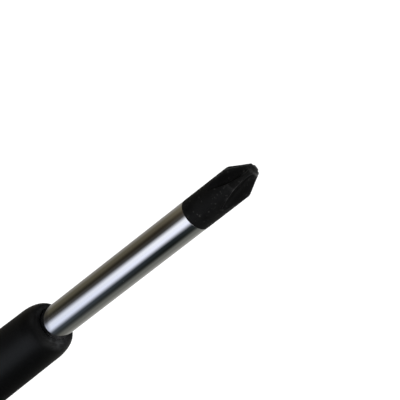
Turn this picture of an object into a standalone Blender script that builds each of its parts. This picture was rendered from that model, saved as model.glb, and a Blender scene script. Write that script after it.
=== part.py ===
# Cross-head screwdriver with a fixed blade, standing on its butt.
# A forged steel blade sits in a hard core; a soft neck sleeve covers the core's front spigot, six soft ribbed
# panels fill the core's pockets, and a cap with a hang hole snaps on its rear spigot.
# Metres, +Z along the blade towards the tip, the butt's flat face at z = 0, the front of the tool towards -Y.
import math

import bmesh
import bpy

# Blade: round shank, PH2 cross-head tip
SHANK_DIAMETER = 0.0060
BLADE_REACH = 0.0510  # nose of the handle to the end of the tip
TIP_FLAT_DIAMETER = 0.0022  # across the tip's wings at its end
TIP_CONE_ANGLE = math.radians(25.6)  # outer cone from the axis
FLUTE_COUNT = 4
FLUTE_ROOT_DIAMETER = 0.0015  # across opposite flute roots along their straight front
FLUTE_STRAIGHT = 0.00195  # straight front of a flute, from the end of the tip
FLUTE_RAMP_ANGLE = math.radians(18)  # flute root from the axis where it runs out
FLANK_DRAFT = math.radians(5.75)  # each wing thins outwards by this on both flanks

# Tang: the hidden end of the blade, with two crossed pairs of forged wings
TANG_CHAMFER = 0.0008
TANG_TAIL = 0.0030  # plain rod behind the rear wings
TANG_WING_SPAN = 0.0092
TANG_WING_THICKNESS = 0.0020
TANG_WING_LENGTH = 0.0100
TANG_WING_SPACING = 0.0040
TANG_WING_BEVEL = 0.0005
TANG_END_WALL = 0.0100  # solid core between the cap's shoulder and the tang

# Handle outline, heights measured from one feature to the next, butt to nose
BUTT_TO_CREST = 0.0310
CREST_TO_WAIST = 0.0270
WAIST_TO_JOINT = 0.0040  # where the sleeve starts, on the way to the collar
WAIST_TO_COLLAR = 0.0110
COLLAR_TO_NECK = 0.0150
NECK_LENGTH = 0.0170
NOSE_LENGTH = 0.0040
BUTT_DIAMETER = 0.0250
CREST_DIAMETER = 0.0280
WAIST_DIAMETER = 0.0190
COLLAR_DIAMETER = 0.0216
NECK_DRAFT = math.radians(0.95)
BUTT_EDGE_RADIUS = 0.0030

# Six flats that keep the handle from rolling, as the depth of a flat below its two ridges
FLAT_COUNT = 6
CREST_FLAT_DEPTH = 0.0010
WAIST_FLAT_DEPTH = 0.0004
COLLAR_FLAT_DEPTH = 0.0011

# Walls and fits
CLEARANCE = 0.00025
SPIGOT_WALL = 0.00085  # core round the shank at the nose
SLEEVE_WALL = 0.00080  # sleeve at the neck
COLLAR_WALL = 0.0032  # sleeve at its rear edge
NOSE_LIP = 0.00045  # flat ring round the shank

# End cap
CAP_LENGTH = 0.0220
BUTT_WALL = 0.0055  # butt to the hang hole
HANG_HOLE_WIDTH = 0.0090
HANG_HOLE_HEIGHT = 0.0060
HOLE_WEB = 0.0025  # hang hole to the cap's socket
REAR_SPIGOT_DIAMETER = 0.0170
SPIGOT_FLAT_DEPTH = 0.0010  # two flats that stop the cap turning
SNAP_DEPTH = 0.0004
SNAP_WIDTH = 0.0020

# Grip panels
PANEL_MARGIN = 0.0035  # joint of the core to the nearer end of a pocket
PANEL_REAR_WIDTH = 0.0096
PANEL_FRONT_WIDTH = 0.0062
POCKET_DEPTH = 0.0018
PANEL_PROUD = 0.0003
RIB_COUNT = 7
RIB_HEIGHT = 0.0005
RIB_MARGIN = 0.0040  # plain end of a panel

# Facets and cutters
SIDES = 48
BLADE_SIDES = 40
RIB_ROWS = 4  # rows of facets for one rib
GRIP_ROWS = 10
SLEEVE_ROWS = 12
SEAT_ROWS = 7
NOSE_ROWS = 6
CAP_ROWS = 6
EDGE_ROWS = 5
HOLE_END_SIDES = 10
PANEL_END_SIDES = 9  # odd, so that no corner of the outline falls on the panel's middle plane
CUT_OVERRUN = 0.0020
MERGE_DISTANCE = 0.00001
SMOOTH_ANGLE = math.radians(30)
FRONT = -math.pi / 2

# Heights and radii that follow from the sizes above
CREST_Z = BUTT_TO_CREST
WAIST_Z = CREST_Z + CREST_TO_WAIST
JOINT_Z = WAIST_Z + WAIST_TO_JOINT
COLLAR_Z = WAIST_Z + WAIST_TO_COLLAR
NECK_Z = COLLAR_Z + COLLAR_TO_NECK
SHOULDER_Z = NECK_Z + NECK_LENGTH
NOSE_Z = SHOULDER_Z + NOSE_LENGTH
TIP_Z = NOSE_Z + BLADE_REACH
TANG_Z = CAP_LENGTH + TANG_END_WALL
HOLE_Z = BUTT_WALL + HANG_HOLE_HEIGHT / 2
SPIGOT_Z = BUTT_WALL + HANG_HOLE_HEIGHT + HOLE_WEB + CLEARANCE
SHANK_RADIUS = SHANK_DIAMETER / 2
BORE_RADIUS = SHANK_RADIUS + CLEARANCE
NECK_FRONT_RADIUS = BORE_RADIUS + SPIGOT_WALL + CLEARANCE + SLEEVE_WALL
NECK_REAR_RADIUS = NECK_FRONT_RADIUS + NECK_LENGTH * math.tan(NECK_DRAFT)
NOSE_FRONT_RADIUS = BORE_RADIUS + NOSE_LIP

RADIUS_STATIONS = [
    (0.0, BUTT_DIAMETER / 2),
    (CREST_Z, CREST_DIAMETER / 2),
    (WAIST_Z, WAIST_DIAMETER / 2),
    (COLLAR_Z, COLLAR_DIAMETER / 2),
    (NECK_Z, NECK_REAR_RADIUS),
]
FLAT_STATIONS = [
    (0.0, 0.0),
    (CREST_Z, CREST_FLAT_DEPTH),
    (WAIST_Z, WAIST_FLAT_DEPTH),
    (COLLAR_Z, COLLAR_FLAT_DEPTH),
    (NECK_Z, 0.0),
]
SLEEVE_WALL_STATIONS = [(JOINT_Z, COLLAR_WALL), (NECK_Z, SLEEVE_WALL)]


# The handle's outer surface, shared by core, sleeve, panels and cap

def eased(z, stations):
    """Value at height z from (height, value) stations, running level through each station."""
    low_z, low = stations[0]
    if z <= low_z:
        return low
    for high_z, high in stations[1:]:
        if z <= high_z:
            share = (z - low_z) / (high_z - low_z)
            return low + (high - low) * share * share * (3 - 2 * share)
        low_z, low = high_z, high
    return low


def handle_radius(z):
    """Radius over the ridges: eased up to the neck, then the neck's draft."""
    if z <= NECK_Z:
        return eased(z, RADIUS_STATIONS)
    return NECK_FRONT_RADIUS + (SHOULDER_Z - z) * math.tan(NECK_DRAFT)


def surface(z, offset=0.0):
    """A ring of the handle's surface at height z, moved outwards by offset."""
    radius = handle_radius(z) + offset
    half_depth = eased(z, FLAT_STATIONS) / 2
    return z, lambda angle: radius - half_depth * (1 + math.cos(FLAT_COUNT * (angle - FRONT)))


def sleeve_seat(z, gap):
    """A ring of the core's front spigot at height z, moved outwards by gap."""
    return surface(z, gap - CLEARANCE - eased(z, SLEEVE_WALL_STATIONS))


def circle(z, radius):
    return z, lambda angle: radius


def flatted(z, radius, flat):
    """A round ring with a flat on each side, at the distance flat from the axis."""
    return z, lambda angle: min(radius, flat / max(abs(math.cos(angle)), flat / radius))


def heights(low, high, count):
    return [low + (high - low) * step / count for step in range(count + 1)]


# Building blocks

def material(name, colour, roughness, metallic):
    made = bpy.data.materials.new(name)
    made.use_nodes = True
    shader = made.node_tree.nodes["Principled BSDF"]
    shader.inputs["Base Color"].default_value = (*colour, 1.0)
    shader.inputs["Roughness"].default_value = roughness
    shader.inputs["Metallic"].default_value = metallic
    return made


def add_object(name, mesh, finish=None):
    """A part when it has a finish, otherwise a cutter."""
    made = bpy.data.objects.new(name, mesh)
    if finish is None:
        cutters.objects.link(made)
        made.hide_render = True
        made.display_type = "WIRE"
    else:
        parts.objects.link(made)
        mesh.materials.clear()
        mesh.materials.append(finish)
    return made


def mesh_from(name, shape):
    mesh = bpy.data.meshes.new(name)
    shape.to_mesh(mesh)
    shape.free()
    mesh.shade_smooth()
    mesh.set_sharp_from_angle(angle=SMOOTH_ANGLE)
    return mesh


def loft(name, rings, finish=None):
    """A closed solid through rings listed upwards; each ring is a height and a radius by angle."""
    shape = bmesh.new()
    angles = [FRONT + math.tau * side / SIDES for side in range(SIDES)]
    loops = []
    for z, radius in rings:
        points = [(radius(angle) * math.cos(angle), radius(angle) * math.sin(angle), z) for angle in angles]
        loops.append([shape.verts.new(point) for point in points])
    for lower, upper in zip(loops, loops[1:]):
        for side in range(SIDES):
            after = (side + 1) % SIDES
            shape.faces.new((lower[side], lower[after], upper[after], upper[side]))
    shape.faces.new(reversed(loops[0]))
    shape.faces.new(loops[-1])
    return add_object(name, mesh_from(name, shape), finish)


def turned(name, profile, finish=None):
    """A solid turned about Z from (radius, height) points that run from its top to its bottom."""
    shape = bmesh.new()
    points = [shape.verts.new((radius, 0.0, z)) for radius, z in profile]
    for upper, lower in zip(points, points[1:]):
        shape.edges.new((upper, lower))
    made = add_object(name, mesh_from(name, shape), finish)
    screw = made.modifiers.new("Turn", "SCREW")
    screw.steps = BLADE_SIDES
    screw.render_steps = BLADE_SIDES
    screw.use_merge_vertices = True
    screw.merge_threshold = MERGE_DISTANCE
    return made


def prism_mesh(name, outline, *legs):
    """A flat outline carried along one leg after another."""
    shape = bmesh.new()
    start = shape.faces.new([shape.verts.new(point) for point in outline])
    end = start
    for leg in legs:
        swept = bmesh.ops.extrude_face_region(shape, geom=[end])["geom"]
        if end is not start:
            shape.faces.remove(end)
        end = next(item for item in swept if isinstance(item, bmesh.types.BMFace))
        bmesh.ops.translate(shape, verts=list(end.verts), vec=leg)
    bmesh.ops.recalc_face_normals(shape, faces=shape.faces)
    return mesh_from(name, shape)


def combine(target, operation, other):
    step = target.modifiers.new(operation.title() + " " + other.name, "BOOLEAN")
    step.operation = operation
    step.object = other


def arc(centre, radius, first, last, count):
    """Points of a circular arc as pairs of coordinates."""
    turn = (last - first) / count
    angles = [first + turn * step for step in range(count + 1)]
    return [(centre[0] + radius * math.cos(a), centre[1] + radius * math.sin(a)) for a in angles]


# Blade

def tang_wings(name, gap):
    """Two crossed pairs of wings on the tang, each grown by gap all round."""
    shapes = []
    for pair in range(2):
        low = TANG_Z + TANG_TAIL + pair * (TANG_WING_LENGTH + TANG_WING_SPACING)
        shape = bmesh.new()
        bmesh.ops.create_cube(shape, size=1.0)
        size = (TANG_WING_SPAN + 2 * gap, TANG_WING_THICKNESS + 2 * gap, TANG_WING_LENGTH + 2 * gap)
        bmesh.ops.scale(shape, verts=shape.verts, vec=size)
        bmesh.ops.translate(shape, verts=shape.verts, vec=(0.0, 0.0, low + TANG_WING_LENGTH / 2))
        made = add_object(f"{name}_{pair + 1}", mesh_from(name, shape))
        made.rotation_euler.z = pair * math.pi / 2
        bevel = made.modifiers.new("Forged edges", "BEVEL")
        bevel.width = TANG_WING_BEVEL
        bevel.segments = 1
        shapes.append(made)
    return shapes


def flute_cutter(index):
    """A V-shaped wedge whose root runs along the tip's core, then ramps out past the shank's surface."""
    half_angle = math.pi / FLUTE_COUNT + FLANK_DRAFT
    root = FLUTE_ROOT_DIAMETER / 2
    rise = SHANK_RADIUS - root + CUT_OVERRUN
    width = SHANK_DIAMETER * math.tan(half_angle)
    top = TIP_Z + CUT_OVERRUN
    outline = [(root, 0.0, top), (root + SHANK_DIAMETER, -width, top), (root + SHANK_DIAMETER, width, top)]
    straight = (0.0, 0.0, -CUT_OVERRUN - FLUTE_STRAIGHT)
    run_out = (rise, 0.0, -rise / math.tan(FLUTE_RAMP_ANGLE))
    made = add_object(f"flute_{index + 1}", prism_mesh("flute", outline, straight, run_out))
    made.rotation_euler.z = (index + 0.5) * math.tau / FLUTE_COUNT
    return made


def make_blade(finish):
    tip_radius = TIP_FLAT_DIAMETER / 2
    cone_z = TIP_Z - (SHANK_RADIUS - tip_radius) / math.tan(TIP_CONE_ANGLE)
    blade = turned("blade", [
        (0.0, TIP_Z),
        (tip_radius, TIP_Z),
        (SHANK_RADIUS, cone_z),
        (SHANK_RADIUS, TANG_Z + TANG_CHAMFER),
        (SHANK_RADIUS - TANG_CHAMFER, TANG_Z),
        (0.0, TANG_Z),
    ], finish)
    for index in range(FLUTE_COUNT):
        combine(blade, "DIFFERENCE", flute_cutter(index))
    for wings in tang_wings("wings", 0.0):
        combine(blade, "UNION", wings)


# Handle core

def rear_spigot(gap):
    """Rings of the core's rear spigot with its snap groove and flats, all faces moved out by gap."""
    radius = REAR_SPIGOT_DIAMETER / 2 + gap
    flat = radius - SPIGOT_FLAT_DEPTH
    middle = (SPIGOT_Z + CAP_LENGTH) / 2
    groove = SNAP_WIDTH / 2 - gap
    return [
        flatted(SPIGOT_Z - gap, radius, flat),
        flatted(middle - groove, radius, flat),
        flatted(middle - groove + SNAP_DEPTH, radius - SNAP_DEPTH, flat),
        flatted(middle + groove - SNAP_DEPTH, radius - SNAP_DEPTH, flat),
        flatted(middle + groove, radius, flat),
        flatted(CAP_LENGTH, radius, flat),
    ]


def panel_outline(gap):
    """Outline of a pocket at the front of the handle, drawn in by gap: two round ends and straight sides."""
    rear = PANEL_REAR_WIDTH / 2
    front = PANEL_FRONT_WIDTH / 2
    rear_z = CAP_LENGTH + PANEL_MARGIN + rear
    front_z = JOINT_Z - PANEL_MARGIN - front
    lean = math.asin((rear - front) / (front_z - rear_z))
    points = arc((0.0, front_z), front - gap, lean, math.pi - lean, PANEL_END_SIDES)
    points += arc((0.0, rear_z), rear - gap, math.pi - lean, math.tau + lean, PANEL_END_SIDES)
    return [(x, -CREST_DIAMETER, z) for x, z in points]


def panel_levels(count):
    low = CAP_LENGTH + PANEL_MARGIN - CUT_OVERRUN
    high = JOINT_Z - PANEL_MARGIN + CUT_OVERRUN
    return heights(low, high, count)


def panel_prism(name, index, gap, finish=None):
    """The pocket's outline carried from outside the handle to its axis, turned to one of the flats."""
    mesh = prism_mesh(name, panel_outline(gap), (0.0, CREST_DIAMETER, 0.0))
    made = add_object(f"{name}_{index + 1}", mesh, finish)
    made.rotation_euler.z = index * math.tau / FLAT_COUNT
    return made


def make_core(finish):
    rings = rear_spigot(0.0)
    rings += [surface(z) for z in heights(CAP_LENGTH, JOINT_Z, GRIP_ROWS)]
    rings += [sleeve_seat(z, 0.0) for z in heights(JOINT_Z, NECK_Z, SEAT_ROWS)]
    rings += [sleeve_seat(SHOULDER_Z, 0.0)]
    core = loft("handle_core", rings, finish)
    floor = loft("pocket_floor", [surface(z, -POCKET_DEPTH) for z in panel_levels(GRIP_ROWS)])
    for index in range(FLAT_COUNT):
        pocket = panel_prism("pocket", index, 0.0)
        combine(pocket, "DIFFERENCE", floor)
        combine(core, "DIFFERENCE", pocket)
    cavity = turned("tang_cavity", [
        (0.0, SHOULDER_Z + CUT_OVERRUN),
        (BORE_RADIUS, SHOULDER_Z + CUT_OVERRUN),
        (BORE_RADIUS, TANG_Z - CLEARANCE),
        (0.0, TANG_Z - CLEARANCE),
    ])
    for wings in tang_wings("wing_cavity", CLEARANCE):
        combine(cavity, "UNION", wings)
    combine(core, "DIFFERENCE", cavity)


# Soft neck sleeve

def make_sleeve(finish):
    rear_z = JOINT_Z + CLEARANCE
    nose_depth = NECK_FRONT_RADIUS - NOSE_FRONT_RADIUS
    rings = [surface(z) for z in heights(rear_z, NECK_Z, SLEEVE_ROWS)]
    for along, out in arc((0.0, 0.0), 1.0, math.pi / 2, 0.0, NOSE_ROWS):
        rings.append(circle(SHOULDER_Z + NOSE_LENGTH * along, NOSE_FRONT_RADIUS + nose_depth * out))
    sleeve = loft("neck_sleeve", rings, finish)
    seat_rings = [sleeve_seat(JOINT_Z - CUT_OVERRUN, CLEARANCE)]
    seat_rings += [sleeve_seat(z, CLEARANCE) for z in heights(JOINT_Z, NECK_Z, SEAT_ROWS)]
    seat_rings += [sleeve_seat(SHOULDER_Z + CLEARANCE, CLEARANCE)]
    combine(sleeve, "DIFFERENCE", loft("sleeve_seat", seat_rings))
    combine(sleeve, "DIFFERENCE", turned("nose_bore", [
        (0.0, NOSE_Z + CUT_OVERRUN),
        (BORE_RADIUS, NOSE_Z + CUT_OVERRUN),
        (BORE_RADIUS, SHOULDER_Z),
        (0.0, SHOULDER_Z),
    ]))


# Soft grip panels

def rib(z):
    """Height of the ribs at height z: RIB_COUNT smooth waves between the plain ends."""
    low = CAP_LENGTH + PANEL_MARGIN + RIB_MARGIN
    high = JOINT_Z - PANEL_MARGIN - RIB_MARGIN
    if not low < z < high:
        return 0.0
    return RIB_HEIGHT * (1 - math.cos(math.tau * RIB_COUNT * (z - low) / (high - low))) / 2


def make_panels(finish):
    low = CAP_LENGTH + PANEL_MARGIN
    high = JOINT_Z - PANEL_MARGIN
    levels = [low - CUT_OVERRUN]
    levels += heights(low + RIB_MARGIN, high - RIB_MARGIN, RIB_COUNT * RIB_ROWS)
    levels += [high + CUT_OVERRUN]
    skin = loft("panel_skin", [surface(z, PANEL_PROUD + rib(z)) for z in levels])
    back = loft("panel_back", [surface(z, CLEARANCE - POCKET_DEPTH) for z in panel_levels(GRIP_ROWS)])
    for index in range(FLAT_COUNT):
        panel = panel_prism("grip_panel", index, CLEARANCE, finish)
        combine(panel, "INTERSECT", skin)
        combine(panel, "DIFFERENCE", back)


# End cap

def make_cap(finish):
    rings = []
    for out, drop in arc((0.0, 0.0), BUTT_EDGE_RADIUS, math.pi / 2, 0.0, EDGE_ROWS):
        rings.append(surface(BUTT_EDGE_RADIUS - drop, out - BUTT_EDGE_RADIUS))
    rings += [surface(z) for z in heights(BUTT_EDGE_RADIUS, CAP_LENGTH - CLEARANCE, CAP_ROWS)[1:]]
    cap = loft("end_cap", rings, finish)
    socket = rear_spigot(CLEARANCE)
    socket.append((CAP_LENGTH + CUT_OVERRUN, socket[-1][1]))
    combine(cap, "DIFFERENCE", loft("cap_socket", socket))
    end = HANG_HOLE_HEIGHT / 2
    side = (HANG_HOLE_WIDTH - HANG_HOLE_HEIGHT) / 2
    outline = arc((side, HOLE_Z), end, -math.pi / 2, math.pi / 2, HOLE_END_SIDES)
    outline += arc((-side, HOLE_Z), end, math.pi / 2, 3 * math.pi / 2, HOLE_END_SIDES)
    outline = [(x, -BUTT_DIAMETER, z) for x, z in outline]
    hole = add_object("hang_hole", prism_mesh("hang_hole", outline, (0.0, 2 * BUTT_DIAMETER, 0.0)))
    combine(cap, "DIFFERENCE", hole)


for old in list(bpy.data.objects):
    bpy.data.objects.remove(old)
parts = bpy.data.collections.new("cross_head_screwdriver")
cutters = bpy.data.collections.new("screwdriver_cutters")
bpy.context.scene.collection.children.link(parts)
bpy.context.scene.collection.children.link(cutters)

make_blade(material("chromed steel", (0.62, 0.62, 0.63), 0.12, 1.0))
hard_plastic = material("hard black plastic", (0.020, 0.021, 0.023), 0.40, 0.0)
soft_plastic = material("soft black plastic", (0.010, 0.010, 0.011), 0.55, 0.0)
make_core(hard_plastic)
make_sleeve(soft_plastic)
make_panels(soft_plastic)
make_cap(hard_plastic)
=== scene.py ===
import math
import bmesh
import bpy
import numpy as np
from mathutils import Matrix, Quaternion, Vector


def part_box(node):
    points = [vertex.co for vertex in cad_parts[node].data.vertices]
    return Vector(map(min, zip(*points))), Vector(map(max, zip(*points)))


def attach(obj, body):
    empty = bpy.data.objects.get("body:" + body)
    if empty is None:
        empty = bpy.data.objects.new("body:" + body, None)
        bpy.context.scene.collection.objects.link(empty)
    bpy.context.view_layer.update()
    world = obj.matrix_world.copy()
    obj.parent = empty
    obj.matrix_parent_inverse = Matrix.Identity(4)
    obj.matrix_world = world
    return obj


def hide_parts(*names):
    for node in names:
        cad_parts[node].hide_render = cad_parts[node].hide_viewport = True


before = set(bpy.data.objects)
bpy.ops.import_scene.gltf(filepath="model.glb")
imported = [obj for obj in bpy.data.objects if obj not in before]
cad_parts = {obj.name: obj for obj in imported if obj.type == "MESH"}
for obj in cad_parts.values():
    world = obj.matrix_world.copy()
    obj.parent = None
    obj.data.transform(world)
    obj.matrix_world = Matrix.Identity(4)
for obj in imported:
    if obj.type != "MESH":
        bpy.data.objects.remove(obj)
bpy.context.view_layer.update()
print("frame loaded,", len(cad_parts), "nodes")

mm = 0.001
turn = math.tau
front = -math.pi / 2  # azimuth of the side that the first grip panel faces
weldGap = 0.001 * mm
tiny = 1e-6  # least divisor
crispAngle = math.radians(38)  # folds sharper than this stay crisp

tangZ, tipZ = (corner.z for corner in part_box("blade"))
coreLowZ, coreHighZ = (corner.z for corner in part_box("handle_core"))
sleeveZ, noseZ = (corner.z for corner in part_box("neck_sleeve"))
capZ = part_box("end_cap")[1].z
clearance = 0.25 * mm  # gap that the frame keeps between its pieces
coreRearZ = capZ + clearance
jointZ = sleeveZ - clearance
seam = 0.02 * mm  # what is left of that gap where two mouldings butt in plain sight

# what every piece of the handle shares: its outer surface

handle = {
    "crestZ": 31 * mm, "waistZ": 58 * mm, "collarZ": 69 * mm, "neckZ": 84 * mm,
    "buttRadius": 12.5 * mm, "crestRadius": 14 * mm, "waistRadius": 9.5 * mm, "collarRadius": 10.8 * mm,
    "neckRadius": 5.15 * mm, "neckDraft": math.radians(0.95), "noseLength": 4 * mm,
    "flats": 6, "crestFlat": 1.0 * mm, "waistFlat": 0.4 * mm, "collarFlat": 1.1 * mm,
    "sleeveWall": 0.8 * mm, "collarWall": 3.2 * mm,
    "jointEdge": 0.25 * mm,  # rounding where two mouldings meet
}
shoulderZ = noseZ - handle["noseLength"]


def eased(z, stations):  # smoothstep from one (height, value) station to the next, level through each
    heights, values = np.transpose(stations)
    low = np.clip(np.searchsorted(heights, z, side="right") - 1, 0, len(heights) - 2)
    share = np.clip((z - heights[low]) / (heights[low + 1] - heights[low]), 0, 1)
    return values[low] + (values[low + 1] - values[low]) * share * share * (3 - 2 * share)


def handleRadius(angle, z):
    # eased ridge radius, less half the flat's depth times 1 + cos of six times the angle
    h = handle
    neck = h["neckRadius"] + (shoulderZ - z) * math.tan(h["neckDraft"])
    neckRear = h["neckRadius"] + (shoulderZ - h["neckZ"]) * math.tan(h["neckDraft"])
    ridge = eased(z, [(0, h["buttRadius"]), (h["crestZ"], h["crestRadius"]), (h["waistZ"], h["waistRadius"]),
                      (h["collarZ"], h["collarRadius"]), (h["neckZ"], neckRear)])
    flat = eased(z, [(0, 0), (h["crestZ"], h["crestFlat"]), (h["waistZ"], h["waistFlat"]),
                     (h["collarZ"], h["collarFlat"]), (h["neckZ"], 0)])
    return np.where(z < h["neckZ"], ridge, neck) - flat / 2 * (1 + np.cos(h["flats"] * (angle - front)))


def seatRadius(angle, z):  # the core's front spigot: the outer surface less the sleeve's wall and the gap
    wall = eased(z, [(jointZ, handle["collarWall"]), (handle["neckZ"], handle["sleeveWall"])])
    return handleRadius(angle, z) - wall - clearance


def steps(*spans):  # runs of evenly spaced values, each given as (first, last, count), joined end to end
    runs = [np.linspace(first, last, count, endpoint=False) for first, last, count in spans]
    return np.concatenate([*runs, [spans[-1][1]]])


def around(angle, radius, z):  # polar place about the tool's axis
    angle, radius, z = np.broadcast_arrays(angle, radius, z)
    return np.stack([radius * np.cos(angle), radius * np.sin(angle), z], axis=-1)


def signedTurn(angle):  # an angle brought within half a turn of zero
    return np.angle(np.exp(1j * angle))


def quarterRound(count):  # sine and cosine over a quarter turn, for a rounded edge
    beta = np.linspace(0, math.pi / 2, count)
    return np.sin(beta), np.cos(beta)


def patch(points, closed=False, finish=0, wearAndShading=0.0):
    return {"points": points, "closed": closed, "finish": finish, "wearAndShading": wearAndShading}


def patchQuads(rows, columns, closed):  # quads between neighbouring rows and columns of a grid of points
    index = np.arange(rows * columns).reshape(rows, columns)
    if closed:
        index = np.concatenate([index, index[:, :1]], axis=1)
    return np.stack([index[:-1, :-1], index[:-1, 1:], index[1:, 1:], index[1:, :-1]], axis=-1).reshape(-1, 4)


def makePiece(name, patches, finishes, node):  # grids stacked in one mesh, then welded where they meet
    grids = [p["points"] for p in patches]
    quads = [patchQuads(*grid.shape[:2], p["closed"]) for grid, p in zip(grids, patches)]
    starts = np.cumsum([0] + [grid.shape[0] * grid.shape[1] for grid in grids])
    faces = np.concatenate([quad + start for quad, start in zip(quads, starts)])
    finish = np.concatenate([np.full(len(quad), p["finish"]) for quad, p in zip(quads, patches)])
    wearAndShading = np.concatenate([np.broadcast_to(p["wearAndShading"], p["points"].shape[:2]).ravel() for p in patches])
    mesh = bpy.data.meshes.new(name)
    mesh.from_pydata(np.concatenate([grid.reshape(-1, 3) for grid in grids]).tolist(), [], faces.tolist())
    mesh.polygons.foreach_set("material_index", finish.astype(np.int32))
    mesh.attributes.new("wearAndShading", "FLOAT", "POINT").data.foreach_set("value", wearAndShading.astype(np.float32))
    shape = bmesh.new()
    shape.from_mesh(mesh)
    bmesh.ops.remove_doubles(shape, verts=shape.verts, dist=weldGap)
    bmesh.ops.recalc_face_normals(shape, faces=shape.faces)
    shape.to_mesh(mesh)
    shape.free()
    mesh.shade_smooth()
    mesh.set_sharp_from_angle(angle=crispAngle)
    for material in finishes:
        mesh.materials.append(material)
    piece = bpy.data.objects.new(name, mesh)
    bpy.context.scene.collection.objects.link(piece)
    normals = piece.modifiers.new("Even shading", "WEIGHTED_NORMAL")
    normals.keep_sharp = True
    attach(piece, "root")
    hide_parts(node)
    print(name, "made with", len(mesh.vertices), "points")


# camera at the photograph's place, rolled so that the blade points up to the right

camera = {
    "aim": Vector((-1.444 * mm, 0, 144.139 * mm)), "distance": 383.214 * mm,
    "azimuth": math.radians(0.235), "elevation": math.radians(32.292), "roll": math.radians(52.076),
    "lens": 208.787, "sensor": 36,
}


def makeCamera():
    azimuth, elevation = camera["azimuth"], camera["elevation"]
    level = math.cos(elevation)
    back = Vector((math.sin(azimuth) * level, -math.cos(azimuth) * level, math.sin(elevation)))
    data = bpy.data.cameras.new("camera")
    data.lens = camera["lens"]
    data.sensor_width = camera["sensor"]
    data.clip_start = 0.01
    eye = bpy.data.objects.new("camera", data)
    eye.rotation_mode = "QUATERNION"
    eye.location = camera["aim"] + back * camera["distance"]
    eye.rotation_quaternion = (-back).to_track_quat("-Z", "Y") @ Quaternion((0, 0, 1), camera["roll"])
    bpy.context.scene.collection.objects.link(eye)
    bpy.context.scene.camera = eye


makeCamera()
print("camera set")

# finishes


def connect(tree, node, sockets):  # a socket gets a link from another node's output, or a plain value
    for socket, value in sockets.items():
        if isinstance(value, bpy.types.NodeSocket):
            tree.links.new(value, node.inputs[socket])
        else:
            node.inputs[socket].default_value = value


def addNode(tree, kind, inputs=None, **settings):
    node = tree.nodes.new("ShaderNode" + kind)
    for key, value in settings.items():
        setattr(node, key, value)
    connect(tree, node, inputs or {})
    return node


def newFinish(name):
    material = bpy.data.materials.new(name)
    material.use_nodes = True
    tree = material.node_tree
    return material, tree, tree.nodes["Principled BSDF"]


def objectPlace(tree):
    return addNode(tree, "TexCoord").outputs["Object"]


def noise(tree, scale, detail=3.0):  # its scale is the repeats to the metre along each axis
    place = addNode(tree, "Mapping", {"Vector": objectPlace(tree), "Scale": scale}).outputs["Vector"]
    node = addNode(tree, "TexNoise", {"Vector": place, "Scale": 1.0, "Detail": detail, "Roughness": 0.55})
    return node.outputs["Fac"]


def spread(tree, value, low, high, toLow, toHigh):  # a value's range carried to another, held at its ends
    ends = {"From Min": low, "From Max": high, "To Min": toLow, "To Max": toHigh}
    return addNode(tree, "MapRange", {"Value": value, **ends}).outputs["Result"]


def blendColour(tree, share, first, second):  # a colour is three numbers or another node's output
    ends = [end if isinstance(end, bpy.types.NodeSocket) else (*end, 1) for end in (first, second)]
    return addNode(tree, "Mix", {0: share, 6: ends[0], 7: ends[1]}, data_type="RGBA").outputs[2]


def relief(tree, height, strength, depth):
    bump = addNode(tree, "Bump", {"Height": height, "Strength": strength, "Distance": depth})
    return bump.outputs["Normal"]


def calculate(tree, operation, first, second):
    return addNode(tree, "Math", {0: first, 1: second}, operation=operation).outputs[0]


def slantHeight(tree, slant):  # height plus a share of the distance along +X
    slope = {0: objectPlace(tree), 1: (slant, 0, 1)}
    return addNode(tree, "VectorMath", slope, operation="DOT_PRODUCT").outputs["Value"]


def meshWearAndShading(tree):  # the wear, painted light and painted shade that the piece's mesh carries at each point
    return addNode(tree, "Attribute", attribute_name="wearAndShading").outputs["Fac"]


chrome = {
    "plate": (0.86, 0.86, 0.87), "shade": (0.80, 0.80, 0.80), "rough": (0.045, 0.10),
    "clouds": (240, 240, 90), "lines": (500, 500, 16000), "lineRelief": 0.10, "lineDepth": 0.004 * mm,
    # painted shade next to the sleeve, with heights from its nose
    "nearShadeColour": (0.45, 0.45, 0.47), "slant": 0.45, "nearShadeLow": 0.3 * mm, "nearShadeHigh": 1.4 * mm, "nearShadePower": 2.3,
    "hazeShadeLow": -1.6 * mm, "hazeShadeHigh": -0.4 * mm, "hazeShadeMost": 0.38,
}


def groundChrome():  # bright plating with fine grinding lines round the shank
    c = chrome
    material, tree, shader = newFinish("ground_chrome")
    lines = noise(tree, c["lines"], 2.0)
    plate = blendColour(tree, noise(tree, c["clouds"]), c["plate"], c["shade"])
    # painted shade next to the sleeve: on one side it deepens by a power of the slanted height, on the other
    # it is mostly a blur that also roughens the plating
    close = spread(tree, slantHeight(tree, c["slant"]), noseZ + c["nearShadeLow"], noseZ + c["nearShadeHigh"], 1, 0)
    across = slantHeight(tree, -c["slant"])
    hazeAndShade = spread(tree, across, noseZ + c["hazeShadeLow"], noseZ + c["hazeShadeHigh"], c["hazeShadeMost"], 0)
    nearShade = calculate(tree, "ADD", calculate(tree, "POWER", close, c["nearShadePower"]), hazeAndShade)
    connect(tree, shader, {
        # the plate darkens towards this colour with the painted shade next to the nose
        "Base Color": blendColour(tree, nearShade, plate, c["nearShadeColour"]),
        "Metallic": 1.0,
        "Roughness": calculate(tree, "ADD", spread(tree, lines, 0.3, 0.7, *c["rough"]), hazeAndShade),
        "Normal": relief(tree, lines, c["lineRelief"], c["lineDepth"]),
    })
    return material


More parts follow.
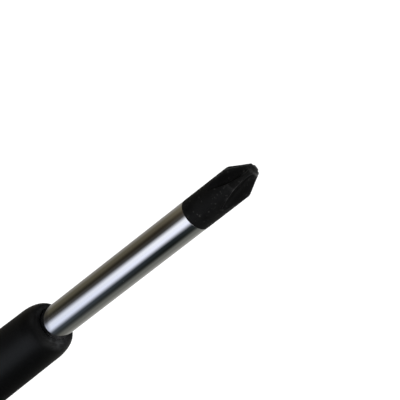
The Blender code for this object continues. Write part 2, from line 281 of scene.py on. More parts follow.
oxide = {
    "dark": (0.0030, 0.0030, 0.0030), "pale": (0.0047, 0.0048, 0.0047), "recessShade": (0.0022, 0.0022, 0.0022),
    "speck": (0.022, 0.022, 0.021), "scratch": (0.016, 0.016, 0.016), "rubbedAndLit": (0.05, 0.05, 0.05),
    "bareAndHighlight": (0.09, 0.09, 0.09), "rough": (0.42, 0.58), "recessRough": 0.25, "gloss": 0.10,
    "clouds": (700, 700, 500), "specks": (1900, 1900, 1900), "scratches": (5200, 5200, 420),
    "patches": (1500, 1500, 900), "grit": (5000, 5000, 5000), "gritRelief": 0.35, "gritDepth": 0.02 * mm,
}


def blackOxide():  # matt blackened steel: mottled, with pale specks, hairline scratches and rubbed edges
    o = oxide
    material, tree, shader = newFinish("black_oxide")
    cloud = noise(tree, o["clouds"])
    specks = spread(tree, noise(tree, o["specks"], 1.5), 0.63, 0.72, 0, 1)
    scratches = spread(tree, noise(tree, o["scratches"], 1.0), 0.70, 0.76, 0, 0.5)
    patchy = spread(tree, noise(tree, o["patches"]), 0.40, 0.66, 0.05, 1)
    grit = noise(tree, o["grit"], 4.0)
    wearAndShading = meshWearAndShading(tree)
    # below zero the wear attribute is painted shade, in the flutes and on the cone's crests, which are also
    # duller
    recessShade = spread(tree, wearAndShading, 0, -1, 0, 1)
    # rubbed where the wear is above zero; on the end's rim this is also a painted highlight
    rubbedAndLit = calculate(tree, "MULTIPLY", spread(tree, wearAndShading, 0, 1, 0, 1), patchy)
    # bare steel where the wear is highest, and a painted highlight on one side of the end's rim
    bareAndHighlight = spread(tree, wearAndShading, 0.7, 1.6, 0, 1)
    base = blendColour(tree, spread(tree, cloud, 0.35, 0.65, 0, 1), o["dark"], o["pale"])
    layers = {"speck": specks, "scratch": scratches, "recessShade": recessShade, "rubbedAndLit": rubbedAndLit, "bareAndHighlight": bareAndHighlight}
    for colour, share in layers.items():
        base = blendColour(tree, share, base, o[colour])
    duller = spread(tree, recessShade, 0, 1, 0, o["recessRough"])
    connect(tree, shader, {
        "Base Color": base,
        "Metallic": 0.0,
        "Roughness": calculate(tree, "ADD", spread(tree, cloud, 0.3, 0.7, *o["rough"]), duller),
        "Specular IOR Level": o["gloss"],
        "Normal": relief(tree, grit, o["gritRelief"], o["gritDepth"]),
    })
    return material


soft = {
    "dark": (0.0015, 0.0016, 0.0017), "pale": (0.0022, 0.0023, 0.0024), "scuffAndLight": (0.032, 0.033, 0.035),
    "rough": (0.34, 0.44), "dullRough": 0.35, "gloss": 0.17, "clouds": (160, 160, 120),
    "patches": (700, 700, 1100), "grain": (4200, 4200, 4200), "grainRelief": 0.22, "grainDepth": 0.02 * mm,
}


def softPlastic():  # soft-touch moulding with a fine even grain: scuffed, given painted light and dulled, each where the wear attribute says so
    s = soft
    material, tree, shader = newFinish("soft_plastic")
    grain = noise(tree, s["grain"], 2.0)
    patchy = spread(tree, noise(tree, s["patches"], 2.0), 0.46, 0.68, 0.2, 1)
    wearAndShading = meshWearAndShading(tree)
    base = blendColour(tree, noise(tree, s["clouds"]), s["dark"], s["pale"])
    duller = spread(tree, wearAndShading, -1, 0, s["dullRough"], 0)
    connect(tree, shader, {
        # pale scuffs and painted light where the wear attribute is above zero
        "Base Color": blendColour(tree, calculate(tree, "MULTIPLY", wearAndShading, patchy), base, s["scuffAndLight"]),
        "Roughness": calculate(tree, "ADD", spread(tree, grain, 0.3, 0.7, *s["rough"]), duller),
        "Specular IOR Level": s["gloss"],
        "Normal": relief(tree, grain, s["grainRelief"], s["grainDepth"]),
    })
    return material


hard = {
    "dark": (0.0125, 0.0130, 0.0140), "pale": (0.0165, 0.0170, 0.0180), "rough": (0.30, 0.42), "gloss": 0.30,
    "clouds": (140, 140, 100), "grain": (2600, 2600, 2600), "grainRelief": 0.18, "grainDepth": 0.02 * mm,
}


def hardPlastic():  # satin moulding, etched a little coarser than the soft one
    h = hard
    material, tree, shader = newFinish("hard_plastic")
    grain = noise(tree, h["grain"], 3.0)
    connect(tree, shader, {
        "Base Color": blendColour(tree, noise(tree, h["clouds"]), h["dark"], h["pale"]),
        "Roughness": spread(tree, grain, 0.3, 0.7, *h["rough"]),
        "Specular IOR Level": h["gloss"],
        "Normal": relief(tree, grain, h["grainRelief"], h["grainDepth"]),
    })
    return material


chromeFinish = groundChrome()
oxideFinish = blackOxide()
softFinish = softPlastic()
hardFinish = hardPlastic()
print("finishes made")

# blade: a round shank that four tapered flutes cut into a cross at the tip

blade = {
    "radius": 3.0 * mm, "endRadius": 1.1 * mm, "cone": math.radians(25.6), "coneBlend": 0.06 * mm,
    "draft": math.radians(5.75), "edge": 0.05 * mm, "endEdge": 0.15 * mm,
    # flutes: their roots and the fuller end
    "rootRadius": 0.52 * mm, "rootStraight": 1.3 * mm, "rootRamp": math.radians(12.4), "rootBlend": 0.9 * mm,
    "rootRound": 0.60 * mm, "cutter": 32 * mm, "endFill": 0.52 * mm, "endFade": 0.30 * mm,
    "edgeMost": 0.3, "rootMost": 0.8,  # shares of a flank that its rounded ends take at most
    # wear and painted light and shade: above zero rubbed, on one side of the end's rim also a painted
    # highlight;
    # below zero painted shade: wings' edges, flutes, end, shoulder and crests
    "driveWear": 0.95, "backWear": 0.12, "wearFade": 0.3 * mm, "edgeReach": 6.4 * mm, "edgeFade": 0.35 * mm,
    "crestColumns": 3.2, "flankColumns": 1.6, "recessColumns": 3, "lastRecess": 0.4,
    "driveRub": 0.10, "backRub": 0.70, "rubReach": 2.4 * mm, "rootWear": 0.12, "rootReach": 4.8 * mm,
    "endWearAndLight": 0.20, "endPlain": 0.3, "rimWearAndLight": 1.8, "rimFade": 0.09 * mm, "rimLeast": 0.15,
    "rimLitSide": math.radians(50), "shoulderWear": 0.40, "shoulderReach": 0.30 * mm,
    "crestShade": 0.6, "crestFade": 0.5 * mm, "crestSpan": 0.6,
    # coat's edge, and the plain rings behind it
    "coat": 14.26 * mm, "coatTilt": 0.0388, "coatGroove": 0.008 * mm, "coatEdge": 0.05 * mm,
    "plainFrom": 0.5 * mm, "plainTo": 2 * mm,
    # hidden tang
    "chamfer": 0.8 * mm, "wingSpan": 4.6 * mm, "wingHalf": 1.0 * mm, "wingLength": 10 * mm, "wingGap": 4 * mm,
    "wingBevel": 0.4 * mm, "tail": 3 * mm,
    # rows and columns of the tip's grid
    "arcSteps": 12, "edgeSteps": 4, "flankSteps": 7, "rootSteps": 6,
    "shoulderZone": 0.4 * mm, "runOutZone": 0.6 * mm, "tipLength": 11 * mm,
}
coneDepth = (blade["radius"] - blade["endRadius"]) / math.tan(blade["cone"])  # from the end to the shoulder
tangTop = 0.1 * mm  # plain rod above the tang's wings, where its rings begin


def tipOuter(depth):
    # at a depth behind the end, the lesser of the cone and the shank, blended by a hyperbola
    b = blade
    room = b["radius"] - b["endRadius"] - depth * math.tan(b["cone"])
    return b["radius"] - (room + np.sqrt(room ** 2 + b["coneBlend"] ** 2)) / 2


def tipRoot(depth):
    # a flute's root: level, then up a ramp that steepens as the cutter's arc leaves the steel; the two are
    # blended by a hyperbola, and the end is fuller
    b = blade
    past = depth - b["rootStraight"]
    run = (past + np.sqrt(past ** 2 + b["rootBlend"] ** 2)) / 2
    climb = math.tan(b["rootRamp"]) * run + run ** 2 / (2 * b["cutter"])
    return b["rootRadius"] + climb + b["endFill"] * np.exp(-depth / b["endFade"])


def tipOutline(depth):
    # one ring for each depth: an arc of the outer cone on each wing, then a straight flank down to the
    # flute's root and up the next; corners are quadratic curves, and a flute that has run out closes on
    # the ring
    b = blade
    depth = np.asarray(depth)[:, None]
    outer = tipOuter(depth)
    root = np.minimum(tipRoot(depth), outer)
    half = math.pi / 4 + b["draft"]
    flank = np.sqrt(outer ** 2 - (root * math.sin(half)) ** 2) - root * math.cos(half)
    mouth = np.arctan2(flank * math.sin(half), root + flank * math.cos(half))
    edge = np.minimum(b["edge"], b["edgeMost"] * flank)
    inward = np.minimum(b["rootRound"], b["rootMost"] * flank)
    arcEnd = -mouth - edge / outer
    arc = -math.pi / 4 + (arcEnd + math.pi / 4) * np.linspace(0, 1, b["arcSteps"])
    arcPart = np.stack([outer * np.cos(arc), outer * np.sin(arc)], axis=-1)
    corner = np.stack([outer * np.cos(mouth), -outer * np.sin(mouth)], axis=-1)
    rootPoint = np.stack([root, 0 * root], axis=-1)
    up = np.array([math.cos(half), -math.sin(half)])
    edgeStart = arcPart[:, -1:]
    edgeEnd = corner - edge[..., None] * up
    t = np.linspace(0, 1, b["edgeSteps"] + 1)[1:, None]
    edgePart = (1 - t) ** 2 * edgeStart + 2 * t * (1 - t) * corner + t ** 2 * edgeEnd
    rootStart = rootPoint + inward[..., None] * up
    t = np.linspace(0, 1, b["flankSteps"] + 1)[1:, None]
    flankPart = edgeEnd + (rootStart - edgeEnd) * t
    t = np.linspace(0, 0.5, b["rootSteps"] + 1)[1:, None]
    rootEnd = rootStart * np.array([1, -1])
    rootPart = (1 - t) ** 2 * rootStart + 2 * t * (1 - t) * rootPoint + t ** 2 * rootEnd
    half = np.concatenate([arcPart, edgePart, flankPart, rootPart], axis=1)
    quarter = np.concatenate([half, (half * np.array([1, -1]))[:, -2:0:-1]], axis=1)
    angles = math.pi / 4 + np.arange(4)[:, None] * turn / 4
    x = quarter[:, None, :, 0] * np.cos(angles) - quarter[:, None, :, 1] * np.sin(angles)
    y = quarter[:, None, :, 0] * np.sin(angles) + quarter[:, None, :, 1] * np.cos(angles)
    return np.stack([x, y], axis=-1).reshape(len(depth), -1, 2)


def rimWearAndLightShare():
    # share of the end's wear and painted highlight by azimuth: all of it on one side, least across from it,
    # along a cosine
    ring = tipOutline([blade["endEdge"]])[0]
    along = np.cos(np.arctan2(ring[:, 1], ring[:, 0]) - blade["rimLitSide"])
    return blade["rimLeast"] + (1 - blade["rimLeast"]) * (1 + along) / 2


def roundTip(drive, back):  # values for the columns of half a flute, on either side, carried round the tip
    return np.tile(np.concatenate([drive, back[-2:0:-1]]), 4)


def tipWearAndShading(depth):
    # a bump over the columns of each wing's long edge, stronger on the side that drives, that ends before the
    # flute does; below zero, painted shade in the flutes, and on the cone also on each wing's crest, most on
    # its other side; the flutes are rubbed near the end and along their roots, and so are the shoulder and
    # the end's rim, which on one side also takes a painted highlight
    b = blade
    depth = depth[:, None]
    column = np.arange(b["arcSteps"] + b["edgeSteps"] + b["flankSteps"] + b["rootSteps"])
    edgeEnd = b["arcSteps"] + b["edgeSteps"]
    aside = column - edgeEnd + b["edgeSteps"] / 2
    bump = np.exp(-(aside / np.where(aside < 0, b["crestColumns"], b["flankColumns"])) ** 2)
    edges = roundTip(b["driveWear"] * bump, b["backWear"] * bump)
    recessShade = np.clip((column - edgeEnd) / b["recessColumns"], 0, 1)
    flutes = roundTip(recessShade, recessShade)
    crest = 1 - flutes
    deep = np.clip((column - edgeEnd - b["flankSteps"]) / b["recessColumns"] + 1, 0, 1)
    roots = roundTip(deep, deep)
    near = np.exp(-(depth / b["rubReach"]) ** 2)
    lift = np.exp(-(depth / b["rootReach"]) ** 4) * (1 - near)
    flutes = flutes * (1 - near) * (1 - roots * lift)
    rub = roundTip(b["driveRub"] * recessShade, b["backRub"] * recessShade) * near + b["rootWear"] * roots * lift
    shoulder = b["shoulderWear"] * np.exp(-((depth - coneDepth) / b["shoulderReach"]) ** 2) * crest
    # painted shade on each wing's crest on the cone, most on its other side
    driveCrest = np.clip(1 - column / (b["crestSpan"] * b["arcSteps"]), 0, 1)
    backCrest = np.clip((edgeEnd - column) / b["edgeSteps"], 0, 1)
    crestShading = b["crestShade"] * roundTip(driveCrest, backCrest) * (1 - near)
    crestShading = crestShading * np.clip((coneDepth - depth) / b["crestFade"], 0, 1)
    fade = np.clip((tipOuter(depth) - tipRoot(depth)) / b["wearFade"], 0, 1)
    reach = 1 / (1 + np.exp((depth - b["edgeReach"]) / b["edgeFade"]))
    # painted shade in the flutes, weaker past the edges' reach
    dark = flutes * (b["lastRecess"] + (1 - b["lastRecess"]) * reach)
    wornAndShaded = (edges * reach - dark) * fade - crestShading + rub + shoulder
    # the end's rim: rubbed, with a painted highlight strongest on one side
    rim = np.exp(-(depth - b["endEdge"]) / b["rimFade"])
    return wornAndShaded * (1 - rim) + b["rimWearAndLight"] * rim * rimWearAndLightShare()


def lifted(rings, z):  # flat rings, each set at its height
    return np.concatenate([rings, np.broadcast_to(z[:, None, None], (*rings.shape[:2], 1))], axis=-1)


def bladeSolid():
    b = blade
    slope = math.tan(b["rootRamp"])
    run = b["cutter"] * (math.sqrt(slope ** 2 + 2 * (b["radius"] - b["rootRadius"]) / b["cutter"]) - slope)
    runOut = b["rootStraight"] + run - b["rootBlend"] ** 2 / (4 * run)  # where the root meets the shank
    # end face: shrunk copies of the end's ring, then its rounded edge
    sine, cosine = quarterRound(4)
    ring = tipOutline([b["endEdge"]])
    inner = np.array([0, 0.4, 0.75])
    shrink = np.concatenate([inner, 1 - b["endEdge"] * (1 - sine) / b["endRadius"]])
    drop = np.concatenate([0 * inner, b["endEdge"] * (1 - cosine)])
    end = lifted(ring * shrink[:, None, None], tipZ - drop)
    # the end's face and rim: rubbed, with a painted highlight strongest on one side
    endWearAndLight = np.interp(shrink, [b["endPlain"], 1], [b["endWearAndLight"], b["rimWearAndLight"]])[:, None] * rimWearAndLightShare()
    # tip: from the end's edge past the flutes' run-out, with closer rings at the shoulder and the run-out
    shoulderLow, shoulderHigh = coneDepth - b["shoulderZone"], coneDepth + b["shoulderZone"]
    runOutLow = runOut - b["runOutZone"]
    depth = steps((b["endEdge"], shoulderLow, 16), (shoulderLow, shoulderHigh, 8),
                  (shoulderHigh, runOutLow, 26), (runOutLow, runOut, 14), (runOut, b["tipLength"], 2))
    rings = tipOutline(depth)
    tip = lifted(rings, tipZ - depth)
    # coat's edge: a slanted line round the shank with a hair groove in it
    plain = rings[-1] / b["radius"]
    slant = tipZ - b["coat"] + b["coatTilt"] * b["radius"] * plain[:, 0]
    share = np.linspace(0, 1, 6)[:, None]
    coatEndZ = slant + b["coatEdge"]
    coated = np.concatenate([tip[-1, :, 2] + (coatEndZ - tip[-1, :, 2]) * share, slant[None, :]])
    coatedRadius = np.append(np.full(len(share), b["radius"]), b["radius"] - b["coatGroove"])[:, None]
    coat = np.stack([coatedRadius * plain[:, 0], coatedRadius * plain[:, 1], coated], axis=-1)
    # plated shank with a rounded edge at the coat, then the hidden tang with two crossed pairs of wings
    sine, cosine = quarterRound(5)
    edgeZ = slant - b["coatEdge"] * (1 - cosine)[:, None]
    edgeRadius = b["radius"] - b["coatGroove"] * (1 - sine)
    shankZ = np.linspace(tipZ - b["coat"] - b["plainFrom"], noseZ - b["plainTo"], 24)
    wingLow = tangZ + b["tail"]
    wingHigh = wingLow + 2 * b["wingLength"] + b["wingGap"]
    plainZ = np.append(shankZ, wingHigh + tangTop)
    shankRows = np.concatenate([edgeZ, np.broadcast_to(plainZ[:, None], (len(plainZ), len(slant)))])
    shankRadius = np.concatenate([edgeRadius, np.full(len(plainZ), b["radius"])])[:, None]
    shank = np.stack([shankRadius * plain[:, 0], shankRadius * plain[:, 1], shankRows], axis=-1)
    return [
        patch(end, True, 1, endWearAndLight),
        patch(tip, True, 1, tipWearAndShading(depth)),
        patch(coat, True, 1),
        patch(shank, True, 0),
        patch(tangRings(plain, wingLow, wingHigh), True, 0),
    ]


def tangRings(plain, wingLow, wingHigh):
    # round rod, or the larger of the rod and a wing's rectangle, by angle
    b = blade
    bevel = b["wingBevel"]
    angle = np.arctan2(plain[:, 1], plain[:, 0])
    rod = np.full_like(angle, b["radius"])
    rows = [(wingHigh + tangTop, rod)]
    for low, side in ((wingHigh - b["wingLength"], math.pi / 2), (wingLow, 0.0)):
        reach = b["wingSpan"] / np.maximum(np.abs(np.cos(angle - side)), tiny)
        thick = b["wingHalf"] / np.maximum(np.abs(np.sin(angle - side)), tiny)
        wing = np.maximum(np.minimum(reach, thick), rod)
        high = low + b["wingLength"]
        rows += [(high, rod), (high - bevel, wing), (low + bevel, wing), (low, rod)]
    rows += [(tangZ + b["chamfer"], rod), (tangZ, rod - b["chamfer"]), (tangZ, 0 * rod)]
    return np.stack([around(angle, radius, z) for z, radius in rows])


makePiece("screwdriver_blade", bladeSolid(), [chromeFinish, oxideFinish], "blade")

# sleeve: the outer surface from the joint to the nose, then back along the bore and the seat

sleeve = {
    "sides": 192, "noseLip": 0.72 * mm, "nosePower": 1.85, "boreGap": 0.02 * mm,
    # lip: rolled in on one side, pressed down on another
    "lipWidth": 0.28 * mm, "lipDepth": 0.30 * mm, "lipRound": 0.12 * mm,
    "rollSide": math.radians(-128), "rollEdge": 0.75,
    "lipDip": 0.66 * mm, "dipSide": math.radians(-93), "dipPower": 1.1, "dipReach": 1.3,
    # wear and painted light: pale scuffs, a weaker painted sheen, the lip's inside, scuffed and lifted by
    # painted light, and a dull front
    "scuffSide": math.radians(-57), "scuffBack": math.radians(13), "scuffAhead": math.radians(58),
    "scuffLength": 1.5 * mm, "sheenSide": math.radians(-172), "sheenSpread": math.radians(38), "sheenShare": 0.45,
    "innerWearAndLight": 1.0, "innerScuff": 1.6, "dullSide": math.radians(-92), "dullSpread": math.radians(34),
    "dullFrom": 0.7, "dullEase": 0.2,
}


def sleeveSolid():
    h, s = handle, sleeve
    angle = np.arange(s["sides"]) * turn / s["sides"]
    lipRadius = blade["radius"] + s["boreGap"] + s["noseLip"]
    bore = np.full(s["sides"], blade["radius"] + s["boreGap"])
    sine, cosine = quarterRound(5)
    buttZ = jointZ + seam
    rearZ = buttZ + h["jointEdge"] * (1 - cosine)
    rear = handleRadius(angle, rearZ[:, None]) - h["jointEdge"] * (1 - sine)[:, None]
    bodyZ = steps((buttZ + h["jointEdge"], h["neckZ"], 60), (h["neckZ"], shoulderZ, 20))
    body = handleRadius(angle, bodyZ[:, None])
    share = np.sin(np.linspace(0, math.pi / 2, 30))  # superellipse from the neck to the lip
    noseRowsZ = shoulderZ + h["noseLength"] * share
    nose = lipRadius + (h["neckRadius"] - lipRadius) * (1 - share ** s["nosePower"]) ** (1 / s["nosePower"])
    # the lip is rolled in on one side, by a smoothstep of a cosine, and only rounded off on the other
    rolled = np.clip(np.cos(angle - s["rollSide"]) / s["rollEdge"], 0, 1)
    rolled = rolled * rolled * (3 - 2 * rolled)
    sine, cosine = quarterRound(9)
    lipZ = noseZ - (s["lipRound"] + (s["lipDepth"] - s["lipRound"]) * rolled) * (1 - cosine)[:, None]
    lip = bore + (s["lipRound"] + (s["lipWidth"] - s["lipRound"]) * rolled) * (1 - sine)[:, None]
    seatZ = steps((shoulderZ + clearance, h["neckZ"], 4), (h["neckZ"], buttZ, 30))
    seat = seatRadius(angle, seatZ[:, None]) + clearance
    radius = np.concatenate([rear, body, nose[:, None] + 0 * angle, lip, bore[None], seat, rear[:1]])
    rows = [rearZ, bodyZ, noseRowsZ, lipZ, [shoulderZ + clearance], seatZ, rearZ[:1]]
    z = np.concatenate([np.reshape(row, (len(row), -1)) + 0 * angle for row in rows])

    def byRow(noseValue, lipValue):  # a value for each row, zero but on the nose and the lip
        return np.concatenate([0 * rearZ, 0 * bodyZ, noseValue, lipValue, [0], 0 * seatZ, [0]])[:, None]

    # scuffs: a bell round the lip that is wider on one side of its peak, and a weaker bell on the left that
    # is a painted sheen
    aside = signedTurn(angle - s["scuffSide"])
    scuffAndSheen = np.exp(-(aside / np.where(aside < 0, s["scuffBack"], s["scuffAhead"])) ** 2)
    scuffAndSheen = scuffAndSheen + s["sheenShare"] * np.exp(-(signedTurn(angle - s["sheenSide"]) / s["sheenSpread"]) ** 2)
    scuffAndLight = np.clip((z - noseZ) / s["scuffLength"] + 1, 0, 1) * scuffAndSheen
    # the lip's inside is paler: scuffs, and painted light that lifts the shade of its crevice
    inside = byRow(0 * share, 1 - cosine)
    scuffAndLight = np.maximum(scuffAndLight, s["innerWearAndLight"] * inside * (1 + s["innerScuff"] * scuffAndSheen))
    # the front of the lip is dull: a bell that begins on the nose and ends inside the lip
    dull = byRow(np.clip((share - s["dullFrom"]) / s["dullEase"], 0, 1), cosine)
    scuffAndLight = scuffAndLight - dull * np.exp(-(signedTurn(angle - s["dullSide"]) / s["dullSpread"]) ** 2)
    # the lip is pressed down along a power of a cosine
    dip = s["lipDip"] * np.clip(np.cos(angle - s["dipSide"]), 0, 1) ** s["dipPower"]
    z = z - byRow(share ** s["dipReach"], 1 + 0 * sine) * dip
    return [patch(around(angle, radius, z), True, wearAndShading=scuffAndLight)]


makePiece("neck_sleeve_skin", sleeveSolid(), [softFinish], "neck_sleeve")

# openings in the handle's surface: a closed outline of round ends and straight sides, in a window of it


def outline(knots, counts):
    # values between knots along the outline; a point is its centre plus its reach along its direction, and
    # the window's edge has one place for each point, so rows can run from the one to the other
    place = steps(*[(i, i + 1, count) for i, count in enumerate(counts)])[:-1]
    table = np.transpose(knots)
    names = ("across", "height", "reach", "direction", "edgeAngle", "edgeHeight")
    return {name: np.interp(place, np.arange(len(knots)), values) for name, values in zip(names, table)}


def surfaceAngle(across, z):  # azimuth from the opening's middle at which the surface is that far across
    angle = np.zeros_like(across)
    for repeat in range(4):
        angle = np.arcsin(np.clip(across / handleRadius(front + angle, z), -1, 1))
    return angle


def outlineRows(ring, along):  # azimuth and height at a distance along each point's direction
    across = ring["across"] + along * np.cos(ring["direction"])
    z = ring["height"] + along * np.sin(ring["direction"])
    return surfaceAngle(across, z), z


def landRows(ring, along, count):  # straight rows from the outline to the window's edge
    angle, z = outlineRows(ring, along)
    share = np.linspace(0, 1, count)[:, None]
    return angle + (ring["edgeAngle"] - angle) * share, z + (ring["edgeHeight"] - z) * share


def onSurface(angle, z, offset, side):  # rows of azimuth and height laid on the handle, turned to one side
    return around(front + angle + side, handleRadius(front + angle, z) + offset, z)


def windowEdge(ring, height):  # azimuths of the window's edge at one height, in order, less the last
    return np.sort(ring["edgeAngle"][np.isclose(ring["edgeHeight"], height)])[:-1]


def allRound(angles, repeats):  # a run of azimuths repeated all round the handle
    return np.concatenate([front + angles + index * turn / repeats for index in range(repeats)])


# grip panels in pockets of the core

grip = {
    "rearHalf": 4.8 * mm, "frontHalf": 3.1 * mm, "margin": 3.5 * mm, "depth": 1.8 * mm, "proud": 0.3 * mm,
    "ribs": 7, "ribHeight": 0.48 * mm, "ribMargin": 4 * mm, "ribFade": 1.1 * mm,
    "panelEdge": 0.5 * mm, "pocketEdge": 0.25 * mm,
    # directions, off the level, of the points that face the window's corners
    "rearCorner": math.radians(52), "frontCorner": math.radians(55),
}


def pocketOutline(lowZ, highZ):
    # a large round end at the rear and a small one in front, with straight sides that lean to touch both
    g = grip
    rearZ = coreRearZ + g["margin"] + g["rearHalf"]
    frontZ = jointZ - g["margin"] - g["frontHalf"]
    lean = math.asin((g["rearHalf"] - g["frontHalf"]) / (frontZ - rearZ))
    half = turn / handle["flats"] / 2
    rearCorner, frontCorner = g["rearCorner"], g["frontCorner"]
    knots = [
        (0, rearZ, g["rearHalf"], lean, half, rearZ),
        (0, frontZ, g["frontHalf"], lean, half, frontZ),
        (0, frontZ, g["frontHalf"], frontCorner, half, highZ),
        (0, frontZ, g["frontHalf"], math.pi - frontCorner, -half, highZ),
        (0, frontZ, g["frontHalf"], math.pi - lean, -half, frontZ),
        (0, rearZ, g["rearHalf"], math.pi - lean, -half, rearZ),
        (0, rearZ, g["rearHalf"], math.pi + rearCorner, -half, lowZ),
        (0, rearZ, g["rearHalf"], turn - rearCorner, half, lowZ),
        (0, rearZ, g["rearHalf"], turn + lean, half, rearZ),
    ]
    return outline(knots, (110, 12, 16, 12, 110, 14, 20, 14))


def ribs(z):  # half of 1 less a cosine along the panel, between its plain ends
    g = grip
    low = coreRearZ + g["margin"] + g["ribMargin"]
    high = jointZ - g["margin"] - g["ribMargin"]
    share = np.clip((z - low) / (high - low), 0, 1)
    return g["ribHeight"] * (1 - np.cos(turn * g["ribs"] * share)) / 2


def panelSolid(side):
    # from the middle out over the ribbed crown and its rounded edge, down the side and back in underneath
    g = grip
    ring = pocketOutline(coreRearZ, jointZ)
    reach = ring["reach"] - clearance
    crown = reach - g["panelEdge"]
    sine, cosine = quarterRound(7)
    back = clearance - g["depth"]
    share = np.linspace(0, 1, 14)[:, None]
    rounded = crown + g["panelEdge"] * sine[1:, None]
    along = np.concatenate([share * crown, rounded, reach[None], share[::-1] * reach])
    angle, z = outlineRows(ring, along)
    fade = np.clip((reach - along) / g["ribFade"], 0, 1)
    top = g["proud"] + ribs(z) * fade * fade * (3 - 2 * fade)
    flatRows = len(share)
    edgeRows = flatRows + len(rounded)
    edge = top[flatRows:edgeRows] - g["panelEdge"] * (1 - cosine[1:, None])
    offset = np.concatenate([top[:flatRows], edge, np.full_like(top[edgeRows:], back)])
    return [patch(onSurface(angle, z, offset, side), True)]


for index in range(handle["flats"]):
    panel = panelSolid(index * turn / handle["flats"])
    makePiece(f"grip_panel_skin_{index + 1}", panel, [softFinish], f"grip_panel_{index + 1}")

# core: six windows with a pocket each, closed at both ends by rings that run to the spigots and the bore

core = {
    "spigotRadius": 8.5 * mm, "spigotFlat": 7.5 * mm, "snapDepth": 0.4 * mm, "snapHalf": 1.0 * mm,
    "cavityRadius": 4.95 * mm, "boreRadius": 3.25 * mm,
}


def flatted(angle, radius, flat):  # a round ring with a flat on each side
    return np.minimum(radius, flat / np.maximum(np.abs(np.cos(angle)), tiny))


def spigotRows(angle, gap):
    # rings of the rear spigot from its end to the core's shoulder, with a snap groove
    c = core
    middle = (coreLowZ + coreRearZ) / 2
    groove = c["snapHalf"] - gap
    grooveLow, grooveHigh = middle - groove, middle + groove
    heights = [coreLowZ - gap, grooveLow, grooveLow + c["snapDepth"], grooveHigh - c["snapDepth"], grooveHigh,
               coreRearZ]
    full = flatted(angle, c["spigotRadius"] + gap, c["spigotFlat"] + gap)
    neck = flatted(angle, c["spigotRadius"] + gap - c["snapDepth"], c["spigotFlat"] + gap)
    return np.array(heights), np.stack([full, full, neck, neck, full, full])


def coreSolid():
    c, g, h = core, grip, handle
    lowZ, highZ = coreRearZ + h["jointEdge"], jointZ - h["jointEdge"]
    ring = pocketOutline(lowZ, highZ)
    # each window: a pocket's floor, wall and rounded mouth, then the land out to the window's edge
    sine, cosine = quarterRound(6)
    reach = ring["reach"]
    share = np.linspace(0, 1, 5)[:, None]
    wall = np.linspace(-g["depth"], -g["pocketEdge"], 4)[1:]
    rounded = g["pocketEdge"] * (sine[1:] - 1)
    along = np.concatenate([share * reach, np.repeat(reach[None], len(wall), axis=0),
                            reach + g["pocketEdge"] * (1 - cosine[1:, None])])
    offset = np.concatenate([np.full(len(share), -g["depth"]), wall, rounded])[:, None]
    pocketAngle, pocketZ = outlineRows(ring, along)
    landAngle, landZ = landRows(ring, reach + g["pocketEdge"], 12)
    patches = []
    for index in range(h["flats"]):
        side = index * turn / h["flats"]
        patches.append(patch(onSurface(pocketAngle, pocketZ, offset, side), True))
        patches.append(patch(onSurface(landAngle, landZ, 0.0, side), True))
    # front: rounded edge, shoulder, spigot, bore, and the wider cavity that clears the tang's wings
    angle = allRound(windowEdge(ring, highZ), h["flats"])
    edgeZ = highZ + h["jointEdge"] * sine
    edge = handleRadius(angle, edgeZ[:, None]) - h["jointEdge"] * (1 - cosine)[:, None]
    seatZ = steps((jointZ, h["neckZ"], 24), (h["neckZ"], coreHighZ, 4))
    wingLow = tangZ + blade["tail"] - clearance
    wingHigh = wingLow + 2 * blade["wingLength"] + blade["wingGap"] + 2 * clearance
    boreZ = np.array([coreHighZ, wingHigh, wingHigh, wingLow, wingLow, tangZ - clearance, tangZ - clearance])
    bore = np.array([c["boreRadius"], c["boreRadius"], c["cavityRadius"], c["cavityRadius"], c["boreRadius"],
                     c["boreRadius"], 0])
    radius = np.concatenate([edge, seatRadius(angle, seatZ[:, None]), bore[:, None] + 0 * angle])
    z = np.concatenate([edgeZ, seatZ, boreZ])[:, None]
    patches.append(patch(around(angle, radius, z), True))
    # rear: rounded edge, shoulder and snap spigot
    angle = allRound(windowEdge(ring, lowZ), h["flats"])
    edgeZ = lowZ - h["jointEdge"] * sine
    edge = handleRadius(angle, edgeZ[:, None]) - h["jointEdge"] * (1 - cosine)[:, None]
    spigotZ, spigot = spigotRows(angle, 0.0)
    radius = np.concatenate([edge, spigot[::-1], 0 * angle[None]])
    z = np.concatenate([edgeZ, spigotZ[::-1], spigotZ[:1]])[:, None]
    patches.append(patch(around(angle, radius, z), True))
    return patches


makePiece("handle_core_skin", coreSolid(), [hardFinish], "handle_core")

# end cap: two windows for the mouths of the hang hole, two plain sides, the butt and the socket

cap = {
    "edge": 3.0 * mm, "holeZ": 8.5 * mm, "holeReach": 3.0 * mm, "holeSide": 1.5 * mm, "mouthRound": 0.7 * mm,
    "window": math.radians(45),
    # directions, off the level, of the points that face the window's corners
    "lowCorner": math.radians(30), "highCorner": math.radians(40),
}


def holeOutline(lowZ, highZ):
    # two half rounds, joined by level straights
    c = cap
    middle = surfaceAngle(np.array([c["holeSide"]]), np.array([c["holeZ"]]))[0]
    knots = []
    for sign, start in ((1, -math.pi / 2), (-1, math.pi / 2)):
        first, second = (lowZ, highZ) if sign > 0 else (highZ, lowZ)
        corners = (c["lowCorner"], c["highCorner"]) if sign > 0 else (c["highCorner"], c["lowCorner"])
        straight = start + math.pi / 2
        side = sign * c["holeSide"]
        knots += [
            (side, c["holeZ"], c["holeReach"], start, sign * middle, first),
            (side, c["holeZ"], c["holeReach"], straight - corners[0], sign * c["window"], first),
            (side, c["holeZ"], c["holeReach"], straight + corners[1], sign * c["window"], second),
            (side, c["holeZ"], c["holeReach"], start + math.pi, sign * middle, second),
        ]
    knots.append((c["holeSide"], c["holeZ"], c["holeReach"], 3 * math.pi / 2, middle, lowZ))
    return outline(knots, (14, 20, 14, 10, 14, 20, 14, 10))


